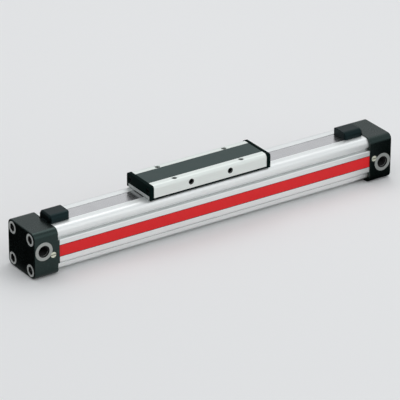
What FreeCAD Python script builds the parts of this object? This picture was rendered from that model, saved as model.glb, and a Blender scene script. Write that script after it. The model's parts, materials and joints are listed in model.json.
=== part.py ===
import FreeCAD, Part
import math
import os

os.makedirs("parts", exist_ok=True)
V = FreeCAD.Vector

# Rodless pneumatic cylinder, slotted barrel with sealing bands, millimetres.
# X runs along the barrel, Z up, Y across; origin under the middle of the barrel at the caps' undersides.

# Driving dimensions: whole unit
bore_d = 25.0
stroke = 150.0
end_allowance = 100.0        # from a stroke end to the outer end of the unit, each side
rest_offset = -6.0           # carriage centre at rest

# End caps
cap_len = 22.0
cap_size = 40.0
cap_edge_r = 5.0
screw_inset = 6.5            # cap screws' axes from the cap's sides
cap_spigot_len = 4.0
cap_chamfer = 0.5
notch_len = 1.8
notch_depth = 3.2
notch_r = 4.4
lip_len = 1.5

# Ports and cushion screws, on the -Y side of each cap
port_from_end = 9.0
port_screw_wall = 1.0        # between the port insert and a cap screw's shank
port_thread_r = 4.283
port_mouth_r = 5.1
port_insert_r = 7.9
port_flange_t = 1.5
port_body_r = 5.6
port_depth = 9.0
needle_from_end = 17.7
needle_drop = 1.6
needle_r = 2.5
needle_len = 11.0
air_way_r = 3.0

# Cap screws with a female thread in the head
screw_head_r = 5.2
screw_head_len = 3.0
screw_shank_r = 3.4
screw_tail_r = 2.5
screw_tail_len = 12.0
mount_thread_r = 2.1
end_thread_depth = 15.0
socket_half = 3.2            # hexagon socket, half its width across flats
socket_depth = 2.0
hole_chamfer = 0.4

# Barrel outline: insets from the caps' outline, so that the barrel follows the caps
top_drop = 0.5
foot_rise = 1.2
bore_drop = 1.0
mid_inset = 0.5
neck_depth = 4.0
shoulder_inset = 1.9
rail_flat_inset = 7.1
rib_inset = 2.9
mid_high_drop = 10.4
mid_low_rise = 9.8
shoulder_drop = 4.8
shoulder_face = 2.0          # upright face at the shoulder's foot
neck_h = 1.7
rib_high_rise = 8.4
rib_low_rise = 4.4
foot_inset = 9.0
rib_groove = 0.5
rib_groove_drop = 0.8        # groove's middle under the rib's top
strip_rise = 19.9
strip_height = 11.6
strip_depth = 1.5
strip_lip = 0.6
foot_groove_half = 5.0
foot_groove_depth = 1.5

# Slot and bands
slot_half = 3.0
outer_band_half = 7.4
outer_band_t = 0.4
band_top_drop = 0.2          # outer band's top face under the rails' top
inner_band_half = 5.1
inner_band_t = 0.4           # at its middle, where the bore is highest
magnet_w = 2.4
magnet_h = 1.5
magnet_from_slot = 0.8
band_end_gap = 1.0           # from a band's end to the barrel's end

# Band clamps
clamp_len = 18.2
clamp_half = 8.7
clamp_rise = 6.5
clamp_edge_r = 3.9
clamp_corner_r = 2.4
clamp_bevel = 1.3
clamp_riser_t = 1.2          # wall that joins clamp and tongue
clamp_tongue_t = 1.2

# Carriage
car_len = 117.0
car_inset = 2.8              # carriage's sides from the caps' sides
car_rise = 12.4              # carriage's top over the rails' top
car_edge_r = 3.0
rail_w = 7.2
cover_t = 1.4
roof_t = 1.4
plate_t = 3.3
plate_proud = 0.4
plate_edge_r = 2.0
wiper_h = 3.4
wiper_inset = 1.6
skirt_w = 2.6
skirt_h = 1.4
skirt_gap = 0.3              # from the skirt down to the rails' top
top_hole_x = 65.0
top_hole_inset = 4.7         # top holes' axes from the carriage's sides
top_hole_depth = 8.0
side_hole_x = 38.0
side_hole_drop = 5.1         # under the carriage's top
side_hole_depth = 5.5
plate_screw_inset = 3.9
plate_screw_drop = 4.9
plate_screw_r = 1.5
plate_screw_head_r = 2.6
plate_screw_head_t = 1.7
plate_screw_grip = 6.0
plate_socket_r = 1.2
pad_len = 14.0
pad_w = 3.0

# Yoke and pistons, measured from the carriage centre
yoke_half_len = 20.0
saddle_half_len = 24.0
saddle_inset = 3.1
saddle_t = 3.0
saddle_gap = 0.6             # over the rails' top
core_margin = 1.0            # from the core to the bore
beam_top_rise = 1.6          # beam's flat over the bore's axis
tunnel_h = 3.6
piston_len = 33.5
guide_w = 5.0
seal_w = 4.0
seal_depth = 2.2
magnet_ring_w = 8.0
seal_at = 5.0                # from the piston's face
magnet_at = 12.0
guide_at = 23.0
cushion_seal_at = 0.8
cushion_seal_w = 2.5
cushion_seal_h = 2.0
bolt_r = 2.0
bolt_head_r = 3.4
bolt_head_t = 3.1
bolt_drop = 5.0
bolt_grip = 9.9
yoke_screw_x = 12.0
yoke_screw_inset = 2.0       # from the saddle's sides
yoke_screw_r = 1.1
yoke_screw_head_r = 1.9
yoke_screw_head_t = 1.5
yoke_screw_grip = 4.0
band_ramp = 19.0             # length over which a band leaves its seat
cushion_boss_r = 5.5
cushion_boss_len = 16.0

# Clearances
fit_gap = 0.05               # sliding or running fit on the radius
seat_gap = 0.1               # between a fixed piece and its pocket
run_gap = 0.3                # between plain faces that pass each other
end_gap = 0.5                # piston face to cap at the stroke's end

# Values that follow
length = stroke + 2 * end_allowance
end_x = length / 2
tube_x = end_x - cap_len
cap_half = cap_size / 2
cap_pattern = cap_size - 2 * screw_inset
bore_r = bore_d / 2
bore_z = cap_half - bore_drop
top_z = cap_size - top_drop
port_rise = cap_pattern / 2 - screw_shank_r - port_body_r - port_screw_wall
mid_half = cap_half - mid_inset
neck_half = mid_half - neck_depth
shoulder_half = mid_half - shoulder_inset
rail_flat_half = mid_half - rail_flat_inset
rib_half = mid_half - rib_inset
mid_high_z = cap_size - mid_high_drop
shoulder_z = top_z - shoulder_drop
car_half = car_len / 2
car_top_z = top_z + car_rise
side_hole_z = car_top_z - side_hole_drop
plate_screw_z = car_top_z - plate_screw_drop
car_half_w = cap_half - car_inset
plate_screw_half = car_half_w - plate_screw_inset
wiper_half = car_half_w - wiper_inset
saddle_half = car_half_w - saddle_inset
yoke_screw_y = saddle_half - yoke_screw_inset
top_hole_y = 2 * (car_half_w - top_hole_inset)
body_half = car_half - plate_t
rail_in = car_half_w - rail_w
piston_reach = tube_x - cap_spigot_len - end_gap - stroke / 2
piston_back = piston_reach - piston_len
core_r = bore_r - core_margin
beam_z = bore_z + beam_top_rise
notch_z = cap_size - notch_depth
notch_half = clamp_half + seat_gap
band_z = top_z - band_top_drop
seat_z = bore_z + bore_r + inner_band_t
skirt_z = top_z + skirt_gap
car_low_z = skirt_z + skirt_h
saddle_z = top_z + saddle_gap
wiper_z = top_z + fit_gap
hump_z = saddle_z + saddle_t + run_gap
hump_flat = saddle_half_len + 3.0
hump_end = hump_flat + band_ramp
dip_flat = yoke_half_len + 2.0
dip_end = piston_back - 2.0
dip_z = beam_z + tunnel_h / 2


def box(x0, x1, y0, y1, z0, z1):
    return Part.makeBox(x1 - x0, y1 - y0, z1 - z0, V(x0, y0, z0))


def cyl_x(x0, x1, y, z, r):
    return Part.makeCylinder(r, x1 - x0, V(x0, y, z), V(1, 0, 0))


def cyl_y(y0, y1, x, z, r):
    return Part.makeCylinder(r, y1 - y0, V(x, y0, z), V(0, 1, 0))


def cyl_z(z0, z1, x, y, r):
    return Part.makeCylinder(r, z1 - z0, V(x, y, z0), V(0, 0, 1))


def ring_x(x0, x1, y, z, outer, inner):
    return cyl_x(x0, x1, y, z, outer).cut(cyl_x(x0 - 1, x1 + 1, y, z, inner))


def mirror_x(shape):
    return shape.mirror(V(0, 0, 0), V(1, 0, 0))


def mirror_y(shape):
    return shape.mirror(V(0, 0, 0), V(0, 1, 0))


def moved(shape, dx):
    copy = shape.copy()
    copy.translate(V(dx, 0, 0))
    return copy


def outline(steps):
    """Closed YZ face from line ends and (middle, end) arcs."""
    edges = []
    here = V(0, *steps[0])
    for step in steps[1:] + [steps[0]]:
        if isinstance(step[0], tuple):
            there = V(0, *step[1])
            edges.append(Part.Arc(here, V(0, *step[0]), there).toShape())
        else:
            there = V(0, *step)
            edges.append(Part.makeLine(here, there))
        here = there
    return Part.Face(Part.Wire(edges))


def ribbon(points, half, thick):
    """Strip of even height that follows a path of (x, z) tops."""
    tops = [V(x, -half, z) for x, z in points]
    lows = [V(x, -half, z - thick) for x, z in reversed(points)]
    face = Part.Face(Part.makePolygon(tops + lows + [tops[0]]))
    return face.extrude(V(0, 2 * half, 0))


def rounded_slab(x0, x1, half, z0, z1, r):
    """Box about Y = 0 with its upright edges rounded."""
    slab = box(x0, x1, -half, half, z0, z1)
    return slab.makeFillet(r, [e for e in slab.Edges if e.BoundBox.ZLength > 0.5 * (z1 - z0)])


def hexagon_x(x0, x1, y, z, half):
    """Hexagonal prism along X, half its width across flats."""
    reach = half / math.cos(math.pi / 6)
    turns = [math.pi * n / 3 for n in range(7)]
    corners = [V(x0, y + reach * math.sin(a), z + reach * math.cos(a)) for a in turns]
    return Part.Face(Part.makePolygon(corners)).extrude(V(x1 - x0, 0, 0))


def x_edges(shape, z_min, y_min=0.0):
    """Long edges along X that lie above z_min and outside y_min."""
    found = []
    for edge in shape.Edges:
        box_ = edge.BoundBox
        if box_.XLength > 1.0 and box_.YLength < 0.01 and box_.ZLength < 0.01:
            if box_.ZMin > z_min and abs(box_.YMin) > y_min:
                found.append(edge)
    return found


def save(name, shape):
    shape.exportStep("parts/" + name + ".step")


# Barrel
def screw_places():
    half = cap_pattern / 2
    return [(y, cap_half + z) for y in (-half, half) for z in (-half, half)]


def barrel_outline():
    shoulder_low = mid_high_z + neck_h
    shoulder_foot = shoulder_z - shoulder_face
    rib_line = rib_high_rise - rib_groove_drop
    bevel = (foot_inset - rib_inset) * 0.12
    foot_mid_y = cap_half - (foot_inset + rib_inset) / 2
    foot_mid_z = (foot_rise + rib_low_rise) / 2 - bevel
    return outline([
        (0, foot_rise),
        (cap_half - foot_inset - bevel, foot_rise),
        ((foot_mid_y, foot_mid_z), (rib_half, rib_low_rise)),
        (rib_half, rib_line - rib_groove),
        (rib_half - rib_groove, rib_line),
        (rib_half, rib_line + rib_groove),
        (rib_half, rib_high_rise),
        (neck_half, rib_high_rise),
        (neck_half, mid_low_rise),
        (mid_half - 0.6, mid_low_rise),
        (mid_half, mid_low_rise + 0.6),
        (mid_half, mid_high_z - 0.6),
        (mid_half - 0.6, mid_high_z),
        (neck_half, mid_high_z),
        (neck_half, shoulder_low),
        ((shoulder_half - 0.4, (shoulder_low + shoulder_foot) / 2 - 0.2), (shoulder_half, shoulder_foot)),
        (shoulder_half, shoulder_z),
        ((shoulder_half - 1.3, top_z - 1.5), (rail_flat_half, top_z)),
        (0, top_z),
    ])


def make_barrel():
    half = barrel_outline().extrude(V(2 * tube_x, 0, 0))
    half.translate(V(-tube_x, 0, 0))
    body = half.fuse(mirror_y(half)).removeSplitter()
    far = tube_x + 1
    band_bed_half = outer_band_half + seat_gap
    floor = band_z - outer_band_t
    cuts = [
        cyl_x(-far, far, 0, bore_z, bore_r),
        box(-far, far, -slot_half, slot_half, bore_z, top_z + 1),
        box(-far, far, -inner_band_half - seat_gap, inner_band_half + seat_gap, bore_z, seat_z),
        box(-far, far, -band_bed_half, band_bed_half, floor, top_z + 1),
        box(-far, far, -foot_groove_half, foot_groove_half, foot_rise - 1, foot_rise + foot_groove_depth),
    ]
    magnet_in = slot_half + magnet_from_slot
    wide = strip_height / 2
    mouth = wide - strip_lip
    bed = mid_half - strip_depth
    channel = box(-far, far, bed, mid_half - strip_lip, strip_rise - wide, strip_rise + wide)
    channel = channel.fuse(box(-far, far, bed, mid_half + 1, strip_rise - mouth, strip_rise + mouth))
    groove = box(-far, far, magnet_in, magnet_in + magnet_w, floor - magnet_h, floor + 0.1)
    for side in (channel, groove):
        cuts.append(side)
        cuts.append(mirror_y(side))
    for y, z in screw_places():
        for x0 in (-far, tube_x - screw_tail_len - 2):
            cuts.append(cyl_x(x0, x0 + screw_tail_len + 3, y, z, screw_tail_r + fit_gap))
    for tool in cuts:
        body = body.cut(tool)
    return body.removeSplitter()


def make_strip():
    mouth = strip_height / 2 - strip_lip - fit_gap
    wide = strip_height / 2 - fit_gap
    floor = mid_half - strip_depth
    start, end = lip_len + seat_gap - tube_x, tube_x - seat_gap
    base = box(start, end, floor, mid_half - strip_lip - fit_gap, strip_rise - wide, strip_rise + wide)
    face = box(start, end, floor, mid_half - 0.1, strip_rise - mouth, strip_rise + mouth)
    return base.fuse(face).removeSplitter()


def make_magnets():
    inner = slot_half + magnet_from_slot
    floor = band_z - outer_band_t
    end = tube_x - band_end_gap
    strip = box(-end, end, inner, inner + magnet_w, floor - magnet_h, floor)
    return Part.makeCompound([strip, mirror_y(strip)])


# Bands, in the shape they have with the carriage at rest
def band_path(flat_z, flat_half, ramp_end, away_z):
    end = tube_x - band_end_gap
    mid = rest_offset
    return [
        (-end, flat_z),
        (mid - ramp_end, flat_z),
        (mid - flat_half, away_z),
        (mid + flat_half, away_z),
        (mid + ramp_end, flat_z),
        (end, flat_z),
    ]


def make_outer_band():
    path = band_path(band_z, hump_flat, hump_end, hump_z + outer_band_t)
    return ribbon(path, outer_band_half, outer_band_t)


def make_inner_band():
    path = band_path(seat_z, dip_flat, dip_end, dip_z + inner_band_t / 2)
    lifted = ribbon(path[1:5], inner_band_half, inner_band_t)
    end = tube_x - band_end_gap
    pieces = []
    for x0, x1 in ((-end, rest_offset - dip_end), (rest_offset + dip_end, end)):
        slab = box(x0, x1, -inner_band_half, inner_band_half, bore_z + core_r * 0.7, seat_z)
        pieces.append(slab.cut(cyl_x(x0 - 1, x1 + 1, 0, bore_z, bore_r)))
    return lifted.multiFuse(pieces)


# Left end, built at -X
def cushion_sign(side):
    return 1.0 if side == "left" else -1.0


def port_place(side):
    sign = cushion_sign(side)
    return -end_x + port_from_end, cap_half + sign * port_rise


def needle_place(side):
    sign = cushion_sign(side)
    return -end_x + needle_from_end, cap_half - sign * needle_drop


def make_cap(side):
    block = box(-end_x, -tube_x, -cap_half, cap_half, 0, cap_size)
    block = block.makeFillet(cap_edge_r, x_edges(block, -1.0))
    rims = [e for e in block.Edges if e.BoundBox.XLength < 0.01 and e.BoundBox.XMin < -end_x + 0.01]
    block = block.makeChamfer(cap_chamfer, rims)
    block = block.fuse(cyl_x(-tube_x, -tube_x + cap_spigot_len, 0, bore_z, bore_r - seat_gap))
    low, high = mid_low_rise - run_gap, mid_high_z + run_gap
    if side == "left":
        lip = box(-tube_x, -tube_x + lip_len, mid_half, cap_half - 0.05, low, high)
        block = block.fuse(lip).fuse(mirror_y(lip)).removeSplitter()
    port_x, port_z = port_place(side)
    needle_x, needle_z = needle_place(side)
    groove_x = -tube_x + 1.2
    cuts = [
        rounded_slab(-tube_x - notch_len, -tube_x + 2 * notch_r, notch_half, notch_z, cap_size + 1, notch_r),
        cyl_y(-cap_half - 1, -cap_half + port_flange_t, port_x, port_z, port_insert_r + seat_gap),
        cyl_y(-cap_half - 1, -cap_half + port_depth, port_x, port_z, port_body_r + seat_gap),
        cyl_y(-cap_half + port_depth - 0.1, 0, port_x, port_z, port_thread_r - run_gap * 2),
        cyl_y(-cap_half - 1, -cap_half + needle_len, needle_x, needle_z, needle_r + fit_gap),
        cyl_x(port_x, -tube_x + cap_spigot_len + 1, 0, bore_z, air_way_r),
        cyl_x(-tube_x - 6, -tube_x + cap_spigot_len + 1, 0, bore_z, cushion_boss_r + seat_gap),
        ring_x(groove_x, groove_x + 1.8, 0, bore_z, bore_r + 1, bore_r - 1.5),
    ]
    for y, z in screw_places():
        cuts.append(cyl_x(-end_x - 1, -end_x + screw_head_len, y, z, screw_head_r + seat_gap))
        cuts.append(cyl_x(-end_x, -tube_x + 1, y, z, screw_shank_r + seat_gap))
    for tool in cuts:
        block = block.cut(tool)
    return block


def make_port_insert(side):
    x, z = port_place(side)
    body = cyl_y(-cap_half, -cap_half + port_flange_t, x, z, port_insert_r)
    body = body.fuse(cyl_y(-cap_half, -cap_half + port_depth, x, z, port_body_r))
    chamfer = port_mouth_r - port_thread_r
    body = body.cut(cyl_y(-cap_half - 1, 0, x, z, port_thread_r))
    body = body.cut(Part.makeCone(port_mouth_r, port_thread_r, chamfer, V(x, -cap_half, z), V(0, 1, 0)))
    needle_x, needle_z = needle_place(side)
    return body.cut(cyl_y(-cap_half - 1, 0, needle_x, needle_z, needle_r + fit_gap))


def make_needle(side):
    x, z = needle_place(side)
    tip = 2.0
    body = cyl_y(-cap_half, -cap_half + needle_len - tip - 0.5, x, z, needle_r)
    cone = Part.makeCone(needle_r, 0.6, tip, V(x, -cap_half + needle_len - tip - 0.5, z), V(0, 1, 0))
    slot = box(x - needle_r, x + needle_r, -cap_half - 1, -cap_half + 1.2, z - 0.4, z + 0.4)
    return body.fuse(cone).cut(slot)


def make_cap_screws():
    screws = []
    for y, z in screw_places():
        body = cyl_x(-end_x, -end_x + screw_head_len, y, z, screw_head_r)
        body = body.fuse(cyl_x(-end_x, -tube_x, y, z, screw_shank_r))
        body = body.fuse(cyl_x(-tube_x, -tube_x + screw_tail_len, y, z, screw_tail_r))
        body = body.cut(cyl_x(-end_x - 1, -end_x + end_thread_depth, y, z, mount_thread_r))
        body = body.cut(hexagon_x(-end_x - 1, -end_x + socket_depth, y, z, socket_half))
        mouth_r = mount_thread_r + hole_chamfer
        seat = V(-end_x + socket_depth, y, z)
        mouth = Part.makeCone(mouth_r, mount_thread_r, hole_chamfer, seat, V(1, 0, 0))
        screws.append(body.cut(mouth))
    return Part.makeCompound(screws)


def make_oring():
    x = -tube_x + 1.2
    return ring_x(x + 0.1, x + 1.7, 0, bore_z, bore_r - fit_gap, bore_r - 1.5)


def make_cushion_boss():
    x = -tube_x - 6
    body = cyl_x(x, -tube_x + cap_spigot_len + cushion_boss_len, 0, bore_z, cushion_boss_r)
    tip = x + 6 + cap_spigot_len + cushion_boss_len
    cut = cyl_x(x - 1, tip + 1, 0, bore_z, air_way_r)
    rims = [e for e in body.Edges if e.BoundBox.XLength < 0.01 and e.BoundBox.XMin > tip - 0.01]
    return body.makeChamfer(0.8, rims).cut(cut)


def clamp_section(x0, x1):
    r = clamp_edge_r
    soft = r * (1 - math.sqrt(0.5))
    high = top_z + clamp_rise
    face = outline([
        (-clamp_half, top_z),
        (clamp_half, top_z),
        (clamp_half, high - r),
        ((clamp_half - soft, high - soft), (clamp_half - r, high)),
        (r - clamp_half, high),
        ((soft - clamp_half, high - soft), (-clamp_half, high - r)),
    ])
    body = face.extrude(V(x1 - x0, 0, 0))
    body.translate(V(x0, 0, 0))
    return body


def make_clamp():
    start, inner = -tube_x, -tube_x + clamp_len
    back = start - notch_len + seat_gap
    wall = start - clamp_riser_t
    gap_x = start - fit_gap
    block = clamp_section(start, inner)
    rims = [e for e in block.Edges if e.BoundBox.XMax < start + 0.01 and e.BoundBox.ZMax > top_z + 0.01]
    block = block.makeChamfer(clamp_bevel, rims)
    high = top_z + clamp_rise + 1
    tail = start - 2 * clamp_corner_r
    block = block.common(rounded_slab(tail, inner, clamp_half, top_z - 1, high, clamp_corner_r))
    pad = box(start, inner - 2 * clamp_corner_r, -outer_band_half, outer_band_half, band_z, top_z)
    riser_half = notch_half - notch_r
    low = top_z + fit_gap
    riser = box(wall, gap_x, -riser_half, riser_half, notch_z, cap_size - seat_gap)
    riser = riser.fuse(box(wall, start + clamp_riser_t, -riser_half, riser_half, low, cap_size - seat_gap))
    tongue_half = notch_half - seat_gap
    tongue = rounded_slab(back, start + 2 * notch_r, tongue_half, notch_z, notch_z + clamp_tongue_t, notch_r)
    tongue = tongue.common(box(back, gap_x, -clamp_half, clamp_half, notch_z, cap_size))
    return block.fuse(pad).fuse(riser.fuse(tongue)).removeSplitter()


# Carriage, built about X = 0 and moved to its rest place
def both_ends(shape):
    return Part.makeCompound([shape, mirror_x(shape)])


def top_holes():
    return [(x, y) for x in (-top_hole_x / 2, top_hole_x / 2) for y in (-top_hole_y / 2, top_hole_y / 2)]


def make_carriage_body():
    body = box(-body_half, body_half, -car_half_w, car_half_w, car_low_z, car_top_z)
    body = body.makeFillet(car_edge_r, x_edges(body, car_top_z - 0.1))
    far = body_half + 1
    seat_x = saddle_half_len + seat_gap
    seat_y = saddle_half + seat_gap
    cuts = [
        box(-far, far, -rail_in, rail_in, car_low_z - 1, car_top_z - cover_t - roof_t),
        box(-far, far, -rail_in, rail_in, car_top_z - cover_t, car_top_z + 1),
        box(-seat_x, seat_x, -seat_y, seat_y, car_low_z - 1, saddle_z + saddle_t),
    ]
    for x, y in top_holes():
        cuts.append(cyl_z(car_top_z - top_hole_depth, car_top_z + 1, x, y, mount_thread_r))
        low = V(x, y, car_top_z - hole_chamfer)
        cuts.append(Part.makeCone(mount_thread_r, mount_thread_r + hole_chamfer, hole_chamfer, low))
    for x in (-side_hole_x / 2, side_hole_x / 2):
        hole = cyl_y(car_half_w - side_hole_depth, car_half_w + 1, x, side_hole_z, mount_thread_r)
        low = V(x, car_half_w - hole_chamfer, side_hole_z)
        mouth = Part.makeCone(mount_thread_r, mount_thread_r + hole_chamfer, hole_chamfer, low, V(0, 1, 0))
        hole = hole.fuse(mouth)
        cuts.append(hole)
        cuts.append(mirror_y(hole))
    for tool in cuts + yoke_screw_solids(fit_gap) + plate_screw_solids(fit_gap):
        body = body.cut(tool)
    return body


def make_cover():
    half = rail_in - fit_gap
    plate = box(-body_half, body_half, -half, half, car_top_z - cover_t, car_top_z - 0.05)
    return plate.makeChamfer(0.3, x_edges(plate, car_top_z - 0.2))


def make_end_plate():
    half = car_half_w + plate_proud
    plate = box(-car_half, -body_half, -half, half, skirt_z, car_top_z)
    plate = plate.makeFillet(plate_edge_r, x_edges(plate, car_top_z - 0.1))
    recess = wiper_half + fit_gap
    plate = plate.cut(box(-car_half - 1, 0, -recess, recess, 0, wiper_z + wiper_h))
    for tool in plate_screw_solids(fit_gap):
        plate = plate.cut(tool)
    return plate


def make_wiper():
    body = box(-car_half + 0.2, -body_half, -wiper_half, wiper_half, wiper_z, wiper_z + wiper_h)
    relief = box(-car_half - 1, 0, -outer_band_half + 1, outer_band_half - 1, 0, wiper_z + 0.3)
    return body.cut(relief)


def plate_screw_solids(gap):
    found = []
    face = -car_half + run_gap
    seat = face + plate_screw_head_t
    for side in (-1, 1):
        for y in (-plate_screw_half, plate_screw_half):
            head = cyl_x(face - gap * 6, seat, y, plate_screw_z, plate_screw_head_r + gap)
            shank = cyl_x(seat - 0.1, -body_half + plate_screw_grip, y, plate_screw_z, plate_screw_r + gap)
            screw = head.fuse(shank)
            if gap == 0:
                socket_end = face + 0.7 * plate_screw_head_t
                screw = screw.cut(cyl_x(face - 1, socket_end, y, plate_screw_z, plate_socket_r))
            found.append(screw if side < 0 else mirror_x(screw))
    return found


def yoke_screw_solids(gap):
    found = []
    seat = saddle_z + seat_gap + yoke_screw_head_t
    for x in (-yoke_screw_x, yoke_screw_x):
        for y in (-yoke_screw_y, yoke_screw_y):
            head = cyl_z(saddle_z + seat_gap - gap, seat, x, y, yoke_screw_head_r + gap)
            shank = cyl_z(seat - 0.1, saddle_z + saddle_t + yoke_screw_grip, x, y, yoke_screw_r + gap)
            found.append(head.fuse(shank))
    return found


def make_skirt():
    outer = car_half_w - 0.1
    return box(-body_half, body_half, outer - skirt_w, outer, skirt_z, car_low_z)


def make_pads():
    inner = rail_in + 0.3
    pads = []
    for x0 in (-body_half + 2, body_half - 2 - pad_len):
        pad = box(x0, x0 + pad_len, inner, inner + pad_w, top_z + fit_gap, car_low_z)
        pads.append(pad)
        pads.append(mirror_y(pad))
    return Part.makeCompound(pads)


def make_band_guide():
    x1 = -hump_end - 1
    x0 = -body_half
    half = outer_band_half - 0.4
    foot = box(x0, x1, -half, half, band_z + fit_gap * 4, car_top_z - cover_t - roof_t)
    under_roof = car_top_z - cover_t - roof_t
    wings = box(x0, x1, -rail_in + fit_gap, rail_in - fit_gap, under_roof - 4, under_roof)
    return foot.fuse(wings).removeSplitter()


def make_yoke():
    core = cyl_x(-yoke_half_len, yoke_half_len, 0, bore_z, core_r)
    beam = cyl_x(-piston_back, piston_back, 0, bore_z, core_r)
    beam = beam.cut(box(-piston_back - 1, piston_back + 1, -bore_r, bore_r, beam_z, top_z))
    tunnel_half = inner_band_half + 0.6
    web_half = slot_half - 0.2
    end = yoke_half_len
    tunnel = box(-end - 1, end + 1, -tunnel_half, tunnel_half, beam_z, beam_z + tunnel_h)
    web = box(-end, end, -web_half, web_half, beam_z + tunnel_h, saddle_z + 0.1)
    end = saddle_half_len
    saddle = box(-end, end, -saddle_half, saddle_half, saddle_z, saddle_z + saddle_t)
    body = core.cut(tunnel).fuse(beam).fuse(web).fuse(saddle).removeSplitter()
    for tool in yoke_screw_solids(fit_gap) + piston_bolt_solids(fit_gap):
        body = body.cut(tool)
    return body


def piston_bolt_solids(gap):
    z = bore_z - bolt_drop
    seat = -piston_back - bolt_grip
    bolt = cyl_x(seat - 0.1, -piston_back + bolt_grip, 0, z, bolt_r + gap)
    bolt = bolt.fuse(cyl_x(seat - bolt_head_t - gap, seat, 0, z, bolt_head_r + gap))
    return [bolt, mirror_x(bolt)]


def make_piston():
    face = -piston_reach
    body = cyl_x(face, -piston_back, 0, bore_z, bore_r - run_gap)
    rims = [e for e in body.Edges if e.BoundBox.XLength < 0.01]
    body = body.makeChamfer(0.8, rims)
    body = body.cut(cyl_x(face - 1, face + cushion_boss_len + 2, 0, bore_z, cushion_boss_r + run_gap))
    start = face + cushion_seal_at
    body = body.cut(cyl_x(start, start + cushion_seal_w, 0, bore_z, cushion_boss_r + cushion_seal_h))
    for start, width in ((seal_at, seal_w), (magnet_at, magnet_ring_w), (guide_at, guide_w)):
        at = face + start
        body = body.cut(ring_x(at, at + width, 0, bore_z, bore_r + 1, bore_r - seal_depth))
    for tool in piston_bolt_solids(fit_gap):
        body = body.cut(tool)
    return body


def make_piston_rings(start, width, outer_gap):
    x = -piston_reach + start
    return ring_x(x + seat_gap, x + width - seat_gap, 0, bore_z, bore_r - outer_gap, bore_r - seal_depth)


def make_cushion_seal():
    x = -piston_reach + cushion_seal_at
    outer = cushion_boss_r + cushion_seal_h - fit_gap
    inner = cushion_boss_r + fit_gap * 2
    return ring_x(x + seat_gap, x + cushion_seal_w - seat_gap, 0, bore_z, outer, inner)


# Save every piece
save("profile_barrel", make_barrel())
strip = make_strip()
save("red_strip_near", mirror_y(strip))
save("red_strip_far", strip)
save("band_magnets", make_magnets())
save("outer_band", make_outer_band())
save("inner_band", make_inner_band())

for side in ("left", "right"):
    def place(shape):
        return shape if side == "left" else mirror_x(shape)
    save("end_cap_" + side, place(make_cap(side)))
    save("port_insert_" + side, place(make_port_insert(side)))
    save("cushion_screw_" + side, place(make_needle(side)))
    save("cap_screws_" + side, place(make_cap_screws()))
    save("cap_oring_" + side, place(make_oring()))
    save("cushion_boss_" + side, place(make_cushion_boss()))
    save("band_clamp_" + side, place(make_clamp()))
    save("end_plate_" + side, moved(place(make_end_plate()), rest_offset))
    save("wiper_" + side, moved(place(make_wiper()), rest_offset))
    save("band_guide_" + side, moved(place(make_band_guide()), rest_offset))
    save("piston_" + side, moved(place(make_piston()), rest_offset))

skirt = make_skirt()
save("carriage_body", moved(make_carriage_body(), rest_offset))
save("carriage_cover", moved(make_cover(), rest_offset))
save("side_skirt_far", moved(skirt, rest_offset))
save("side_skirt_near", moved(mirror_y(skirt), rest_offset))
save("bearing_pads", moved(make_pads(), rest_offset))
save("plate_screws", moved(Part.makeCompound(plate_screw_solids(0)), rest_offset))
save("yoke", moved(make_yoke(), rest_offset))
save("yoke_screws", moved(Part.makeCompound(yoke_screw_solids(0)), rest_offset))
save("piston_bolts", moved(Part.makeCompound(piston_bolt_solids(0)), rest_offset))
save("piston_seals", moved(both_ends(make_piston_rings(seal_at, seal_w, fit_gap)), rest_offset))
save("piston_magnets", moved(both_ends(make_piston_rings(magnet_at, magnet_ring_w, run_gap)), rest_offset))
save("guide_rings", moved(both_ends(make_piston_rings(guide_at, guide_w, fit_gap)), rest_offset))
save("cushion_seals", moved(both_ends(make_cushion_seal()), rest_offset))
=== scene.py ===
"""Looks of a rodless pneumatic cylinder: finishes, bands, threads, studio and camera, in metres."""

from __future__ import annotations

import json
import logging
import math
from dataclasses import dataclass, field
from enum import Enum

import bpy
from mathutils import Matrix, Vector

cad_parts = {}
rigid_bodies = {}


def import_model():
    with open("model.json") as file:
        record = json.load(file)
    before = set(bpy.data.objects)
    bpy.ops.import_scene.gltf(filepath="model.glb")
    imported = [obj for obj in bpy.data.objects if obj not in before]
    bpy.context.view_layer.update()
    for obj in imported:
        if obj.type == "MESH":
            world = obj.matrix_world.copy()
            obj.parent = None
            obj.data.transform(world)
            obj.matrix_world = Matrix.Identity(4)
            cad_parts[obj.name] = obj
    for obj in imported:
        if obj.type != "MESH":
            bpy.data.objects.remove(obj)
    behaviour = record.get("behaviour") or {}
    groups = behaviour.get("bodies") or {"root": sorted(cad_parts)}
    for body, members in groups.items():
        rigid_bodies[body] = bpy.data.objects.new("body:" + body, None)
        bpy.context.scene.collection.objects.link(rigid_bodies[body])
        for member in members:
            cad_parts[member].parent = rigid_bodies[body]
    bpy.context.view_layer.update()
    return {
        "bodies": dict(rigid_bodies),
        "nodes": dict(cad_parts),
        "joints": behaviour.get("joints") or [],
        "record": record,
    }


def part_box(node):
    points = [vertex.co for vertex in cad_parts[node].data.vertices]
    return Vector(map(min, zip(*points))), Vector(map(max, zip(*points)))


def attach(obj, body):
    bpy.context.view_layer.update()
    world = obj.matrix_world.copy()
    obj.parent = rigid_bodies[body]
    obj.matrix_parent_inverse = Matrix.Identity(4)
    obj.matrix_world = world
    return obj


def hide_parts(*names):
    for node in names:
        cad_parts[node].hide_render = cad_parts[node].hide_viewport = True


LOG = logging.getLogger("rodless_cylinder")
MM = 0.001

Colour = tuple[float, float, float]
Opaque = tuple[float, float, float, float]
Place = tuple[float, float, float]
Span = tuple[float, float]

UNIT: Span = (0.0, 1.0)

SCREEN_TOP = 255
SCREEN_KNEE = 0.04045
SCREEN_SLOPE = 12.92
SCREEN_OFFSET = 0.055
SCREEN_POWER = 2.4


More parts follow.
